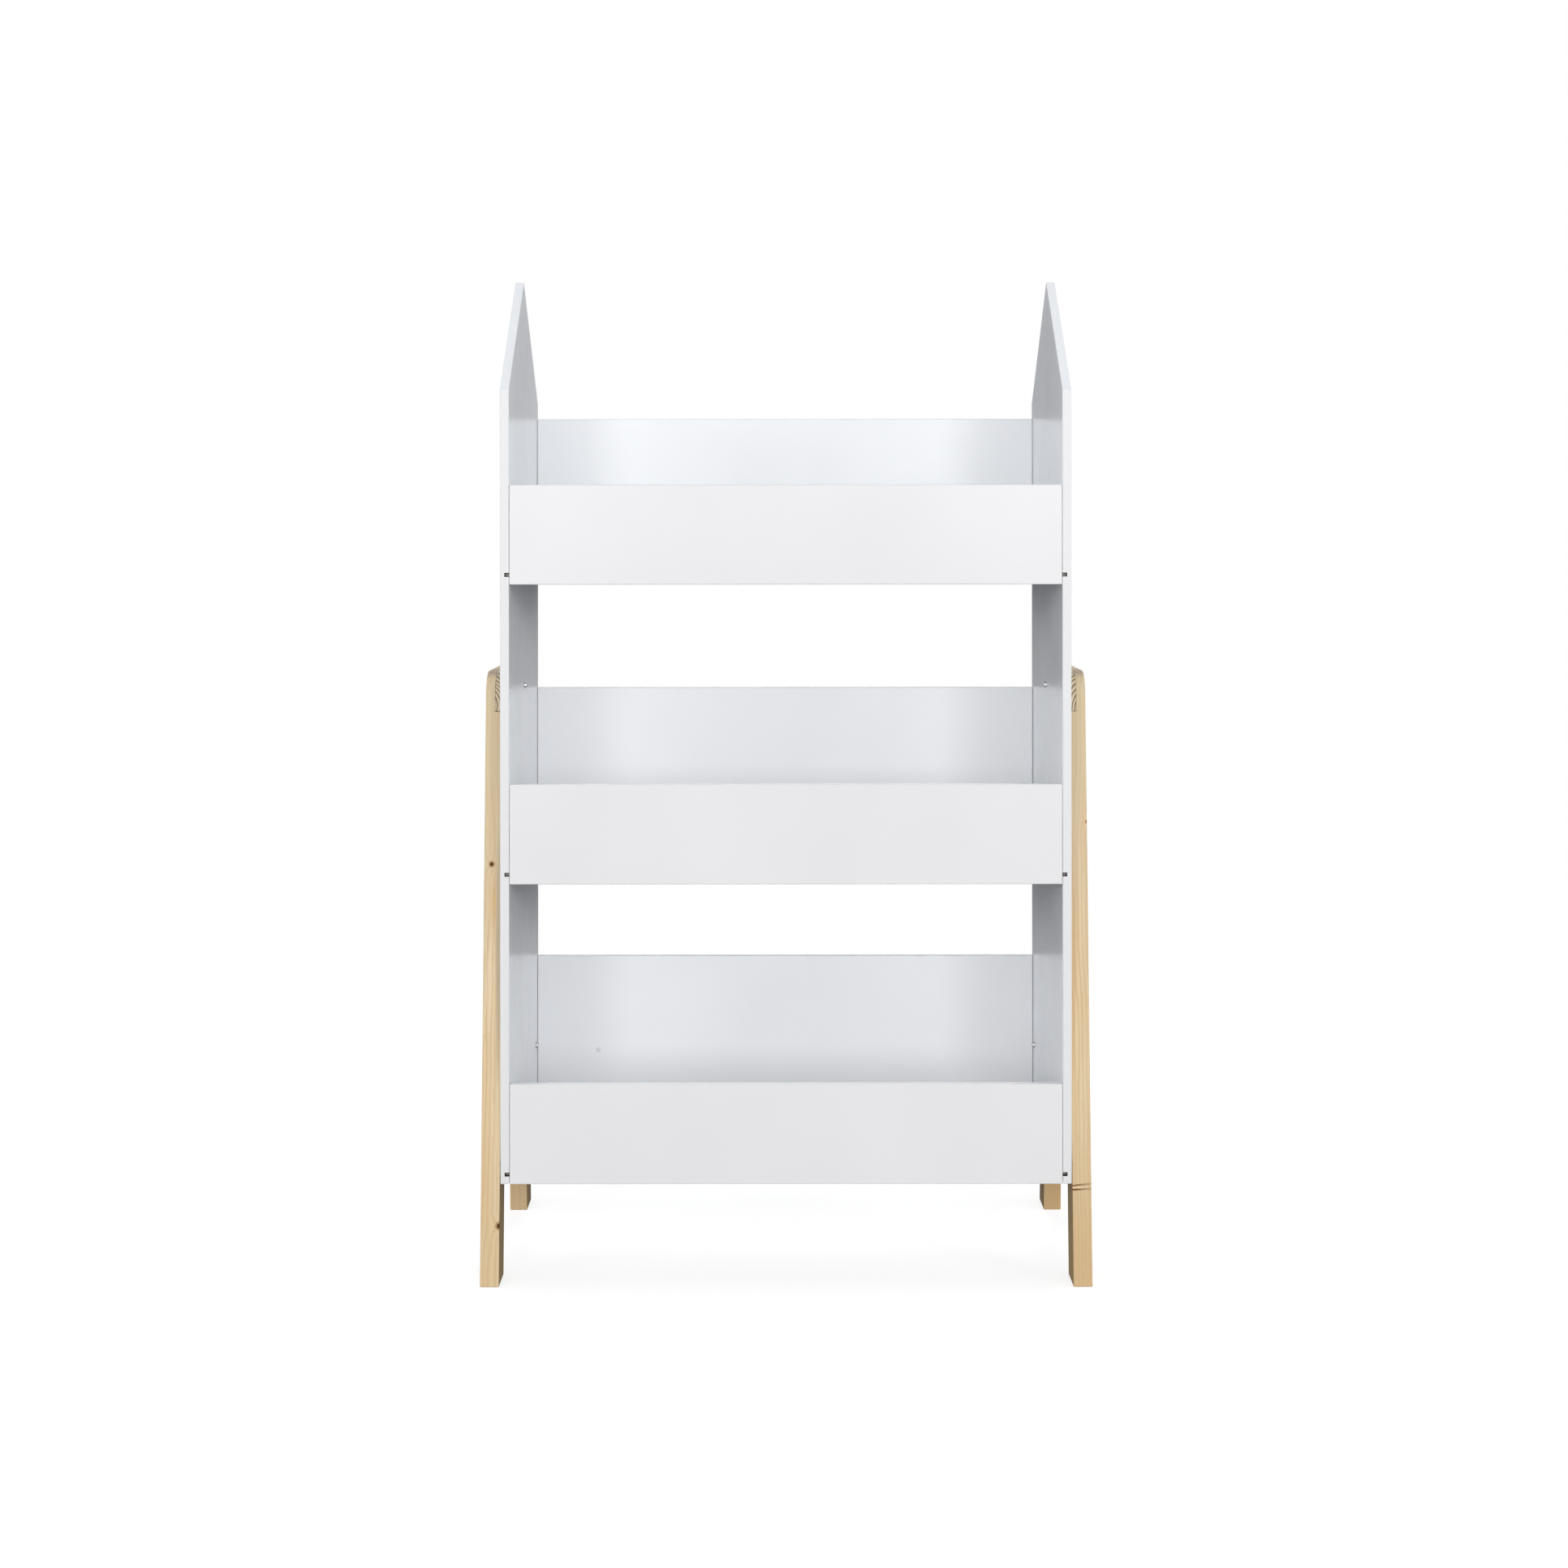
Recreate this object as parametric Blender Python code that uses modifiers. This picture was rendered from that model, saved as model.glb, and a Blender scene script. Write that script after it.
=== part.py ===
"""Kids bookcase.

Two house shaped side panels of painted board carry three open trays between them.
A pine leg frame, two leaning legs half lapped to a top rail, is screwed to the outer
face of each panel and lifts it off the floor.

X runs along the trays, Y from front to back and Z up. The origin is on the floor,
midway between the panels and midway in their depth.
"""

import math

import bmesh
import bpy
from mathutils import Matrix

# Driving dimensions in metres.

# Gap left between pieces that touch.
CLEARANCE = 0.0003
# How far a cutter runs past the face that it starts from.
OVERRUN = 0.002

# House shaped side panels.
CLEAR_WIDTH = 0.554
PANEL_THICKNESS = 0.009
PANEL_DEPTH = 0.280
PANEL_LIFT = 0.100
# How far the straight part of a panel rises past the top back board.
WALL_OVER_TRAYS = 0.017
ROOF_RISE = 0.122

# Trays: a low front board, a high back board and a thin floor in grooves.
TRAY_PITCH = 0.300
BOARD_THICKNESS = 0.009
FRONT_BOARD_HEIGHT = 0.100
BACK_BOARD_HEIGHT = 0.178
BOARD_EDGE_RADIUS = 0.0008
FLOOR_THICKNESS = 0.003
FLOOR_LIFT = 0.0082
GROOVE_DEPTH = 0.0045
GROOVE_PLAY = 0.0005

# Pine leg frames.
LEG_THICKNESS = 0.019
LEG_WIDTH = 0.040
LEG_LEAN = math.radians(5.0)
FOOT_REACH = 0.010
FRAME_HEIGHT = 0.610
RAIL_HEIGHT = 0.040
FRAME_CORNER_RADIUS = 0.024
LEG_EDGE_RADIUS = 0.0010

# Countersunk screws from the panels into the ends of the tray boards.
TRAY_SCREW_RADIUS = 0.00175
TRAY_SCREW_LENGTH = 0.032
TRAY_SCREW_HEAD_RADIUS = 0.0035
TRAY_SCREW_HEAD_HEIGHT = 0.0022
TRAY_SCREW_SINK = 0.0003
SCREW_RISE = 0.020
BACK_SCREW_DROP = 0.030

# Pan head screws from inside the panels into the leg frames.
FRAME_SCREW_RADIUS = 0.0020
FRAME_SCREW_LENGTH = 0.024
FRAME_SCREW_HEAD_RADIUS = 0.0034
FRAME_SCREW_HEAD_HEIGHT = 0.0024
FRAME_SCREW_HEAD_RIM = 0.0010
FRAME_SCREW_RISE = 0.182

# The cross recess and the pointed end that both screws share.
CROSS_WIDTH = 0.0009
CROSS_SPAN = 0.0040
CROSS_DEPTH = 0.0012
SCREW_TIP_LENGTH = 0.004

# Wooden dowels between the panels and the ends of the tray boards.
DOWEL_RADIUS = 0.0025
DOWEL_LENGTH = 0.024
DOWEL_CHAMFER = 0.0007
DOWEL_PANEL_DEPTH = 0.006
DOWEL_DROP = 0.028

# Smoothness, in counts and angles.
TURNED_SIDES = 12
CORNER_STEPS = 6
BOARD_EDGE_STEPS = 2
LEG_EDGE_STEPS = 2
SHARP_ANGLE = math.radians(40.0)
EDGE_ANGLE = math.radians(30.0)
MERGE_DISTANCE = 0.00001
FLAT_ANGLE = math.radians(0.1)

TRAYS = ("bottom", "middle", "top")
SIDES = (("left", -1), ("right", 1))
ENDS = (("front", -1), ("back", 1))

# Sizes and places worked out from the ones above.
PANEL_WALL_HEIGHT = (len(TRAYS) - 1) * TRAY_PITCH + BACK_BOARD_HEIGHT + WALL_OVER_TRAYS
PANEL_INNER_X = CLEAR_WIDTH / 2
PANEL_OUTER_X = PANEL_INNER_X + PANEL_THICKNESS
HALF_DEPTH = PANEL_DEPTH / 2
BOARD_LENGTH = CLEAR_WIDTH - 2 * CLEARANCE
BOARD_Y = HALF_DEPTH - BOARD_THICKNESS / 2
FLOOR_HALF_LENGTH = PANEL_INNER_X + GROOVE_DEPTH - CLEARANCE
FLOOR_HALF_DEPTH = HALF_DEPTH - BOARD_THICKNESS + GROOVE_DEPTH - CLEARANCE
GROOVE_BOTTOM = FLOOR_LIFT - CLEARANCE
GROOVE_HEIGHT = CLEARANCE + FLOOR_THICKNESS + GROOVE_PLAY
FRAME_INNER_X = PANEL_OUTER_X + CLEARANCE
FRAME_CENTRE_X = FRAME_INNER_X + LEG_THICKNESS / 2
FOOT_Y = HALF_DEPTH + FOOT_REACH
RAIL_BOTTOM = FRAME_HEIGHT - RAIL_HEIGHT


def start_empty():
    """Remove the objects that a new file holds and make the two collections."""
    for item in list(bpy.data.objects):
        bpy.data.objects.remove(item, do_unlink=True)
    made = []
    for name in ("kids_bookcase", "cutters"):
        collection = bpy.data.collections.new(name)
        bpy.context.scene.collection.children.link(collection)
        made.append(collection)
    return made


def make_material(name, colour, roughness, metallic=0.0):
    """A plain Principled surface."""
    material = bpy.data.materials.new(name)
    material.use_nodes = True
    surface = material.node_tree.nodes["Principled BSDF"]
    surface.inputs["Base Color"].default_value = (*colour, 1.0)
    surface.inputs["Roughness"].default_value = roughness
    surface.inputs["Metallic"].default_value = metallic
    material.diffuse_color = (*colour, 1.0)
    return material


def add_object(name, mesh, place, parent, collection=None):
    """Put a mesh in the scene, at its place under its parent."""
    item = bpy.data.objects.new(name, mesh)
    (collection or PARTS).objects.link(item)
    item.parent = parent
    item.location = place
    return item


def add_empty(name, place, parent=None):
    """An empty that carries a group of pieces."""
    return add_object(name, None, place, parent)


def add_box(shape, size, centre):
    """Add a box to a shape under construction."""
    matrix = Matrix.Translation(centre) @ Matrix.Diagonal((*size, 1.0))
    bmesh.ops.create_cube(shape, size=1.0, matrix=matrix)


def add_pin(shape, radii, length, centre):
    """Add a cylinder or a cone that lies along X, radii given from low X to high X."""
    matrix = Matrix.Translation(centre) @ Matrix.Rotation(math.pi / 2, 4, "Y")
    bmesh.ops.create_cone(shape, cap_ends=True, segments=TURNED_SIDES, radius1=radii[0],
                          radius2=radii[1], depth=length, matrix=matrix)


def finish_mesh(name, shape, material=None):
    """Turn a shape under construction into a mesh."""
    mesh = bpy.data.meshes.new(name)
    shape.to_mesh(mesh)
    shape.free()
    if material:
        mesh.materials.append(material)
    return mesh


def round_edges(item, radius, steps):
    """Ease the sharp edges of a piece."""
    bevel = item.modifiers.new("eased_edges", "BEVEL")
    bevel.width = radius
    bevel.segments = steps
    bevel.limit_method = "ANGLE"
    bevel.angle_limit = EDGE_ANGLE
    item.data.shade_smooth()
    item.data.set_sharp_from_angle(angle=SHARP_ANGLE)


def cut(item, shape, name, parent=None):
    """Cut a shape out of a piece. The cutter keeps to its parent's frame."""
    cutter = add_object(name, finish_mesh(name, shape), (0, 0, 0), parent, CUTTERS)
    cutter.hide_render = True
    cutter.display_type = "WIRE"
    boolean = item.modifiers.new(name, "BOOLEAN")
    boolean.operation = "DIFFERENCE"
    boolean.solver = "EXACT"
    boolean.object = cutter


def outline_mesh(name, points, thickness, material=None):
    """A flat outline in the YZ plane, thickened evenly both ways along X."""
    curve = bpy.data.curves.new(name, "CURVE")
    curve.dimensions = "2D"
    curve.fill_mode = "BOTH"
    curve.extrude = thickness / 2
    spline = curve.splines.new("POLY")
    spline.points.add(len(points) - 1)
    for point, (y, z) in zip(spline.points, points):
        point.co = (y, z, 0.0, 1.0)
    spline.use_cyclic_u = True
    guide = bpy.data.objects.new(name, curve)
    PARTS.objects.link(guide)
    guide.rotation_euler = (math.pi / 2, 0.0, math.pi / 2)
    depsgraph = bpy.context.evaluated_depsgraph_get()
    mesh = bpy.data.meshes.new_from_object(guide.evaluated_get(depsgraph))
    mesh.transform(guide.matrix_world)
    shape = bmesh.new()
    shape.from_mesh(mesh)
    bmesh.ops.remove_doubles(shape, verts=shape.verts, dist=MERGE_DISTANCE)
    bmesh.ops.dissolve_limit(shape, angle_limit=FLAT_ANGLE, verts=shape.verts, edges=shape.edges)
    bmesh.ops.recalc_face_normals(shape, faces=shape.faces)
    shape.to_mesh(mesh)
    shape.free()
    mesh.materials.clear()
    if material:
        mesh.materials.append(material)
    bpy.data.objects.remove(guide, do_unlink=True)
    return mesh


def turned_mesh(name, profile, material):
    """Turn a profile, given top to bottom as radius and height, about Z."""
    shape = bmesh.new()
    corners = [shape.verts.new((radius, 0.0, height)) for radius, height in profile]
    for first, second in zip(corners, corners[1:]):
        shape.edges.new((first, second))
    pattern = bpy.data.objects.new(name, finish_mesh(name, shape))
    PARTS.objects.link(pattern)
    screw = pattern.modifiers.new("turned", "SCREW")
    screw.axis = "Z"
    screw.steps = TURNED_SIDES
    screw.render_steps = TURNED_SIDES
    screw.use_merge_vertices = True
    screw.merge_threshold = MERGE_DISTANCE
    depsgraph = bpy.context.evaluated_depsgraph_get()
    mesh = bpy.data.meshes.new_from_object(pattern.evaluated_get(depsgraph))
    bpy.data.objects.remove(pattern, do_unlink=True)
    mesh.materials.clear()
    mesh.materials.append(material)
    mesh.shade_smooth()
    mesh.set_sharp_from_angle(angle=SHARP_ANGLE)
    return mesh


def add_turned(name, mesh, place, direction):
    """Lay a copy of a turned piece down: its top points along X in the given direction."""
    item = add_object(name, mesh, place, ROOT)
    item.rotation_euler = (0.0, direction * math.pi / 2, 0.0)


def leg_edge_y(offset, height):
    """Distance from mid depth to a line down the leg, offset inward from its outer edge."""
    return FOOT_Y - offset / math.cos(LEG_LEAN) - height * math.tan(LEG_LEAN)


def corner_arc():
    """Rounded outer corner at the top of the frame, from the top edge down to the leg."""
    centre_z = FRAME_HEIGHT - FRAME_CORNER_RADIUS
    centre_y = leg_edge_y(FRAME_CORNER_RADIUS, centre_z)
    first, last = math.pi / 2, LEG_LEAN
    points = []
    for step in range(CORNER_STEPS + 1):
        angle = first + (last - first) * step / CORNER_STEPS
        y = centre_y + FRAME_CORNER_RADIUS * math.cos(angle)
        z = centre_z + FRAME_CORNER_RADIUS * math.sin(angle)
        points.append((y, z))
    return points


def screw_places():
    """Where the tray screws enter a board end, as Y and height above the tray's underside."""
    return {"front": (-BOARD_Y, SCREW_RISE), "back_low": (BOARD_Y, SCREW_RISE),
            "back_high": (BOARD_Y, BACK_BOARD_HEIGHT - BACK_SCREW_DROP)}


def dowel_places():
    """Where the dowels enter a board end, as Y and height above the tray's underside."""
    back_screws = SCREW_RISE + BACK_BOARD_HEIGHT - BACK_SCREW_DROP
    return {"front": (-BOARD_Y, FRONT_BOARD_HEIGHT - DOWEL_DROP),
            "back": (BOARD_Y, back_screws / 2)}


def tray_lift(index):
    """Height of a tray's underside above the floor."""
    return PANEL_LIFT + index * TRAY_PITCH


def clear_of_floors(height):
    """A frame screw's height, lowered where its head would meet a tray floor."""
    reach = FRAME_SCREW_HEAD_RADIUS + CLEARANCE
    for index in range(len(TRAYS)):
        lowest = tray_lift(index) + FLOOR_LIFT - reach
        if lowest < height < lowest + FLOOR_THICKNESS + 2 * reach:
            return lowest
    return height


def frame_screw_places():
    """Where the frame screws pass through a panel, as Y and height above the floor."""
    leg_z = clear_of_floors(FRAME_SCREW_RISE)
    leg_y = leg_edge_y(LEG_WIDTH / 2, leg_z)
    return {"front": (-leg_y, leg_z), "back": (leg_y, leg_z),
            "top": (0.0, clear_of_floors(RAIL_BOTTOM + RAIL_HEIGHT / 2))}


def make_side_panel(side, sign):
    """House shaped panel with through grooves for the tray floors and all its screw holes."""
    outline = [(-HALF_DEPTH, 0.0), (HALF_DEPTH, 0.0), (HALF_DEPTH, PANEL_WALL_HEIGHT),
               (0.0, PANEL_WALL_HEIGHT + ROOF_RISE), (-HALF_DEPTH, PANEL_WALL_HEIGHT)]
    name = "side_panel_" + side
    mesh = outline_mesh(name, outline, PANEL_THICKNESS, WHITE_BOARD)
    centre_x = sign * (PANEL_INNER_X + PANEL_THICKNESS / 2)
    panel = add_object(name, mesh, (centre_x, 0.0, PANEL_LIFT), ROOT)
    round_edges(panel, BOARD_EDGE_RADIUS, BOARD_EDGE_STEPS)

    holes = bmesh.new()
    sinks = bmesh.new()
    through = PANEL_THICKNESS + 2 * OVERRUN
    for index in range(len(TRAYS)):
        lift = tray_lift(index)
        depth = GROOVE_DEPTH + OVERRUN
        groove_x = sign * (PANEL_INNER_X + GROOVE_DEPTH - depth / 2)
        add_box(holes, (depth, PANEL_DEPTH + 2 * OVERRUN, GROOVE_HEIGHT),
                (groove_x, 0.0, lift + GROOVE_BOTTOM + GROOVE_HEIGHT / 2))
        hole = TRAY_SCREW_RADIUS + CLEARANCE
        for y, rise in screw_places().values():
            add_pin(holes, (hole, hole), through, (centre_x, y, lift + rise))
            add_sink(sinks, sign, y, lift + rise)
        for y, rise in dowel_places().values():
            deep = DOWEL_PANEL_DEPTH + CLEARANCE + OVERRUN
            hole_x = sign * (PANEL_INNER_X - OVERRUN + deep / 2)
            wide = DOWEL_RADIUS + CLEARANCE
            add_pin(holes, (wide, wide), deep, (hole_x, y, lift + rise))
    hole = FRAME_SCREW_RADIUS + CLEARANCE
    for y, z in frame_screw_places().values():
        add_pin(holes, (hole, hole), through, (centre_x, y, z))
    cut(panel, holes, name + "_holes", ROOT)
    cut(panel, sinks, name + "_countersinks", ROOT)


def add_sink(shape, sign, y, z):
    """Countersink in a panel's outer face, shaped like the screw head that it takes."""
    slope = (TRAY_SCREW_HEAD_RADIUS - TRAY_SCREW_RADIUS) / TRAY_SCREW_HEAD_HEIGHT
    deep = TRAY_SCREW_SINK + TRAY_SCREW_HEAD_HEIGHT + CLEARANCE
    length = deep + OVERRUN
    inner_radius = TRAY_SCREW_RADIUS + CLEARANCE
    outer_radius = inner_radius + slope * length
    radii = (inner_radius, outer_radius) if sign > 0 else (outer_radius, inner_radius)
    add_pin(shape, radii, length, (sign * (PANEL_OUTER_X + OVERRUN - length / 2), y, z))


def make_tray_board(name, sign, height, tray):
    """Front or back board of a tray, with a groove inside and holes in both ends."""
    shape = bmesh.new()
    add_box(shape, (BOARD_LENGTH, BOARD_THICKNESS, height), (0, 0, 0))
    mesh = finish_mesh(name, shape, WHITE_BOARD)
    item = add_object(name, mesh, (0.0, sign * BOARD_Y, height / 2), tray)
    round_edges(item, BOARD_EDGE_RADIUS, BOARD_EDGE_STEPS)

    holes = bmesh.new()
    depth = GROOVE_DEPTH + OVERRUN
    groove_y = sign * (HALF_DEPTH - BOARD_THICKNESS + GROOVE_DEPTH - depth / 2)
    add_box(holes, (BOARD_LENGTH + 2 * OVERRUN, depth, GROOVE_HEIGHT),
            (0.0, groove_y, GROOVE_BOTTOM + GROOVE_HEIGHT / 2))
    kinds = ((screw_places(), TRAY_SCREW_RADIUS, TRAY_SCREW_LENGTH - PANEL_THICKNESS),
             (dowel_places(), DOWEL_RADIUS, DOWEL_LENGTH - DOWEL_PANEL_DEPTH))
    for places, radius, depth_in_board in kinds:
        wide = radius + CLEARANCE
        length = depth_in_board + CLEARANCE + OVERRUN
        for y, rise in places.values():
            if y * sign < 0:
                continue
            for _, end in SIDES:
                hole_x = end * (PANEL_INNER_X + OVERRUN - length / 2)
                add_pin(holes, (wide, wide), length, (hole_x, y, rise))
    cut(item, holes, name + "_holes", tray)


def make_tray(index, label):
    """The two boards and the floor of one tray, carried by an empty at its underside."""
    tray = add_empty("tray_" + label, (0.0, 0.0, tray_lift(index)), ROOT)
    make_tray_board("front_board_" + label, -1, FRONT_BOARD_HEIGHT, tray)
    make_tray_board("back_board_" + label, 1, BACK_BOARD_HEIGHT, tray)
    shape = bmesh.new()
    add_box(shape, (2 * FLOOR_HALF_LENGTH, 2 * FLOOR_HALF_DEPTH, FLOOR_THICKNESS), (0, 0, 0))
    name = "floor_board_" + label
    add_object(name, finish_mesh(name, shape, WHITE_FLOOR),
               (0.0, 0.0, FLOOR_LIFT + FLOOR_THICKNESS / 2), tray)


def make_leg(side, side_sign, end, end_sign, frame):
    """A leaning leg. Its top is thinned to the outer half, where the rail laps over it."""
    outline = corner_arc()
    outline += [(leg_edge_y(0.0, 0.0), 0.0), (leg_edge_y(LEG_WIDTH, 0.0), 0.0)]
    outline += [(leg_edge_y(LEG_WIDTH, FRAME_HEIGHT), FRAME_HEIGHT)]
    name = "leg_" + end + "_" + side
    points = [(end_sign * y, z) for y, z in outline]
    leg = add_object(name, outline_mesh(name, points, LEG_THICKNESS, PINE), (0, 0, 0), frame)
    round_edges(leg, LEG_EDGE_RADIUS, LEG_EDGE_STEPS)

    lap = bmesh.new()
    deep = LEG_THICKNESS / 2 + CLEARANCE / 2 + OVERRUN
    tall = RAIL_HEIGHT + CLEARANCE + OVERRUN
    add_box(lap, (deep, PANEL_DEPTH, tall),
            (side_sign * (CLEARANCE / 2 - deep / 2), end_sign * HALF_DEPTH,
             RAIL_BOTTOM - CLEARANCE + tall / 2))
    cut(leg, lap, name + "_lap", frame)
    cut_pilot_hole(leg, name, frame_screw_places()[end], side_sign, frame)


def make_top_rail(side, sign, frame):
    """Top rail. Its ends are thinned to the inner half and run out to the corners."""
    arc = corner_arc()
    low_y = leg_edge_y(0.0, RAIL_BOTTOM)
    right = arc + [(low_y, RAIL_BOTTOM)]
    points = right + [(-y, z) for y, z in reversed(right)]
    name = "top_rail_" + side
    rail = add_object(name, outline_mesh(name, points, LEG_THICKNESS, PINE), (0, 0, 0), frame)
    round_edges(rail, LEG_EDGE_RADIUS, LEG_EDGE_STEPS)

    deep = LEG_THICKNESS / 2 + CLEARANCE / 2 + OVERRUN
    lap_top = FRAME_HEIGHT + OVERRUN
    lap_bottom = RAIL_BOTTOM - OVERRUN
    for end, end_sign in ENDS:
        inner = LEG_WIDTH + CLEARANCE
        outline = [(leg_edge_y(inner, lap_bottom), lap_bottom), (FOOT_Y, lap_bottom),
                   (FOOT_Y, lap_top), (leg_edge_y(inner, lap_top), lap_top)]
        flipped = [(end_sign * y, z) for y, z in outline]
        lap = bmesh.new()
        lap.from_mesh(outline_mesh(name + "_lap", flipped, deep))
        bmesh.ops.translate(lap, verts=lap.verts,
                            vec=(sign * (deep / 2 - CLEARANCE / 2), 0.0, 0.0))
        cut(rail, lap, name + "_lap_" + end, frame)
    cut_pilot_hole(rail, name, frame_screw_places()["top"], sign, frame)


def cut_pilot_hole(item, name, place, sign, frame):
    """Blind hole in a frame piece for the screw that comes through the panel."""
    shape = bmesh.new()
    hole = FRAME_SCREW_RADIUS + CLEARANCE
    deep = FRAME_SCREW_LENGTH - PANEL_THICKNESS + OVERRUN
    add_pin(shape, (hole, hole), deep,
            (sign * (deep / 2 - OVERRUN - LEG_THICKNESS / 2), *place))
    cut(item, shape, name + "_pilot_hole", frame)


def screw_mesh(name, head, shank_radius, length):
    """A wood screw from its head's profile down, with a cross recess in the head."""
    profile = [(0.0, head[0][1])] + head
    profile += [(shank_radius, SCREW_TIP_LENGTH - length), (0.0, -length)]
    screw = add_object(name, turned_mesh(name, profile, STEEL), (0, 0, 0), None)
    deep = CROSS_DEPTH + OVERRUN
    for index, size in enumerate(((CROSS_WIDTH, CROSS_SPAN), (CROSS_SPAN, CROSS_WIDTH))):
        slot = bmesh.new()
        add_box(slot, (*size, deep), (0.0, 0.0, head[0][1] - CROSS_DEPTH + deep / 2))
        cut(screw, slot, name + "_recess_" + str(index))
    depsgraph = bpy.context.evaluated_depsgraph_get()
    mesh = bpy.data.meshes.new_from_object(screw.evaluated_get(depsgraph))
    bpy.data.objects.remove(screw, do_unlink=True)
    return mesh


def tray_screw_mesh():
    """Countersunk screw, the face of its head at the origin, shank down."""
    head = [(TRAY_SCREW_HEAD_RADIUS, 0.0), (TRAY_SCREW_RADIUS, -TRAY_SCREW_HEAD_HEIGHT)]
    return screw_mesh("tray_screw", head, TRAY_SCREW_RADIUS, TRAY_SCREW_LENGTH)


def frame_screw_mesh():
    """Pan head screw, its seat at the origin, shank down."""
    head = [(FRAME_SCREW_HEAD_RADIUS - FRAME_SCREW_HEAD_RIM, FRAME_SCREW_HEAD_HEIGHT),
            (FRAME_SCREW_HEAD_RADIUS, FRAME_SCREW_HEAD_HEIGHT - FRAME_SCREW_HEAD_RIM),
            (FRAME_SCREW_HEAD_RADIUS, 0.0), (FRAME_SCREW_RADIUS, 0.0)]
    return screw_mesh("frame_screw", head, FRAME_SCREW_RADIUS, FRAME_SCREW_LENGTH)


def dowel_mesh():
    """Straight dowel with chamfered ends, centred on the origin."""
    half = DOWEL_LENGTH / 2
    narrow = DOWEL_RADIUS - DOWEL_CHAMFER
    profile = [(0.0, half), (narrow, half), (DOWEL_RADIUS, half - DOWEL_CHAMFER),
               (DOWEL_RADIUS, DOWEL_CHAMFER - half), (narrow, -half), (0.0, -half)]
    return turned_mesh("tray_dowel", profile, BEECH)


def make_fastenings(side, sign, tray_screw, frame_screw, dowel):
    """The screws and dowels of one side."""
    screw_x = sign * (PANEL_OUTER_X - TRAY_SCREW_SINK)
    dowel_x = sign * (PANEL_INNER_X + DOWEL_PANEL_DEPTH - DOWEL_LENGTH / 2)
    for index, tray in enumerate(TRAYS):
        lift = tray_lift(index)
        for label, (y, rise) in screw_places().items():
            name = "_".join(("tray_screw", tray, side, label))
            add_turned(name, tray_screw, (screw_x, y, lift + rise), sign)
        for label, (y, rise) in dowel_places().items():
            name = "_".join(("dowel", tray, side, label))
            add_turned(name, dowel, (dowel_x, y, lift + rise), sign)
    for label, (y, z) in frame_screw_places().items():
        name = "_".join(("frame_screw", side, label))
        add_turned(name, frame_screw, (sign * (PANEL_INNER_X - CLEARANCE), y, z), -sign)


def make_frame(side, sign):
    """One leg frame, carried by an empty in the middle of its thickness."""
    frame = add_empty("leg_frame_" + side, (sign * FRAME_CENTRE_X, 0.0, 0.0), ROOT)
    for end, end_sign in ENDS:
        make_leg(side, sign, end, end_sign, frame)
    make_top_rail(side, sign, frame)


PARTS, CUTTERS = start_empty()
WHITE_BOARD = make_material("white_board", (0.84, 0.84, 0.85), 0.35)
WHITE_FLOOR = make_material("white_floor", (0.82, 0.82, 0.83), 0.45)
PINE = make_material("pine", (0.73, 0.55, 0.34), 0.55)
BEECH = make_material("beech", (0.62, 0.45, 0.28), 0.60)
STEEL = make_material("zinc_steel", (0.55, 0.55, 0.57), 0.35, 1.0)

ROOT = add_empty("bookcase", (0, 0, 0))
for number, tray_label in enumerate(TRAYS):
    make_tray(number, tray_label)
fasteners = (tray_screw_mesh(), frame_screw_mesh(), dowel_mesh())
for side_label, side_direction in SIDES:
    make_side_panel(side_label, side_direction)
    make_frame(side_label, side_direction)
    make_fastenings(side_label, side_direction, *fasteners)
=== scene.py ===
"""Kids bookcase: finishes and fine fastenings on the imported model, with its studio and camera."""
import math

import bmesh
import bpy
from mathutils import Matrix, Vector


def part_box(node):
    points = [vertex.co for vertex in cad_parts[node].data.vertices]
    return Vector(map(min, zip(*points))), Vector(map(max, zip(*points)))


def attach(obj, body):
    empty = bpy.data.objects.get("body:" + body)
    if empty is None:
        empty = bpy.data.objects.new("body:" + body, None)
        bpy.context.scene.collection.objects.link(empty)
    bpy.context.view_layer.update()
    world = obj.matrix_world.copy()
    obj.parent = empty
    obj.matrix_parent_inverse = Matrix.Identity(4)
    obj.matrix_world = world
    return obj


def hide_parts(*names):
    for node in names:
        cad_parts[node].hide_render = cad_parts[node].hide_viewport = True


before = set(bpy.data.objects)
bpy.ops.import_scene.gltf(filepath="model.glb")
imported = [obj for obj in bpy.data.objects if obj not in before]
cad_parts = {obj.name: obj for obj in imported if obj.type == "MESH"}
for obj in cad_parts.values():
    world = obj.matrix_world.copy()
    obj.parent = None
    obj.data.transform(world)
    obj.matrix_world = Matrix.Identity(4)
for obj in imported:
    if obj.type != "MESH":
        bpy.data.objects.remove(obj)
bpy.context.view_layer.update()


# Side panels.
# House shaped fibreboard, routed to shape and rolled with two coats of satin white paint.
# The cut edges drink the paint, so they dry a little duller; their darker white is painted shade.

SIDES = {"left": -1.0, "right": 1.0}
# Painted light: the panels get a brighter, bluer white than the front boards of the same paint.
SIDE_WHITE_PAINTED_LIGHT = (0.898, 0.912, 0.938)
THIN_SHARE = 0.965
PAINT_SPECULAR = 0.45
PAINT_ROUGHNESS = (0.245, 0.268)
PAINT_SOILED = (0.745, 0.742, 0.735)
STIPPLE_SIZE = 0.0022
STIPPLE_DETAIL = 3.0
STIPPLE_HARDNESS = 0.55
STIPPLE_DEPTH = 0.000006
TONE_SCALE = (7.0, 7.0, 5.0)
GLOSS_SCALE = (28.0, 28.0, 20.0)
NOISE_SPREAD = (0.2, 0.8)
EDGE_WHITE_PAINTED_SHADE = (0.737, 0.731, 0.737)
EDGE_SHADE_SHARE = 0.90
EDGE_ROUGHER = 0.16
ARRIS_WIDTH = 0.0008
ARRIS_SHARE = 0.20
PANEL_LONG_WAYS = (0.0, 1.0, 1.0)
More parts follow.
